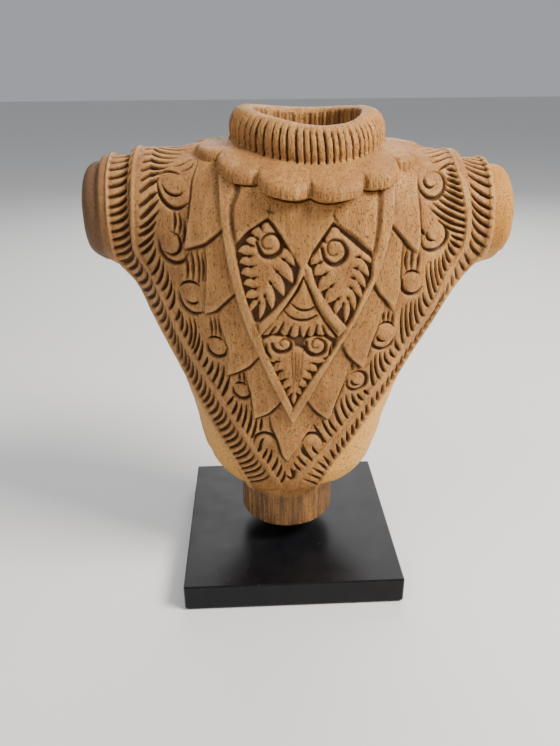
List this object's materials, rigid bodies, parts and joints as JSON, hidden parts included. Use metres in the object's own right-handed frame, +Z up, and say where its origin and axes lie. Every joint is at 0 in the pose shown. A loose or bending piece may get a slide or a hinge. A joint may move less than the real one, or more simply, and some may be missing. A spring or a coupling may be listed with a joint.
{
  "type": "carved torso on display stand",
  "caption": "Headless, armless carved wooden torso with a ribbed neck ring and feathered bib, turning and lifting off a steel pin on a square black display base.",
  "frame": {"origin": "centre of the felt's underside, on the surface that the stand rests on", "axes": "+Z up along the support pin, -Y towards the torso's front, +X towards the torso's left arm stub"},
  "size_m": [0.1716, 0.1, 0.2112],
  "materials": {
    "carved_wood": "matte",
    "pin_steel": "satin",
    "screw_steel": "satin",
    "black_lacquer": "satin",
    "felt": "matte"
  },
  "bodies": {
    "stand": {"base_plate": "black_lacquer", "base_felt": "felt"},
    "pin": {"support_pin": "pin_steel", "pin_screw": "screw_steel", "screw_washer": "screw_steel"},
    "torso": {"carved_torso": "carved_wood"}
  },
  "joints": [
    {"name": "torso_turn", "type": "hinge", "parent": "stand", "child": "pin", "pos_m": [0, 0, 0.0132], "axis": [0, 0, 1], "continuous": true},
    {"name": "torso_lift", "type": "slide", "parent": "pin", "child": "torso", "axis": [0, 0, 1], "range_m": [0, 0.05]}
  ]
}
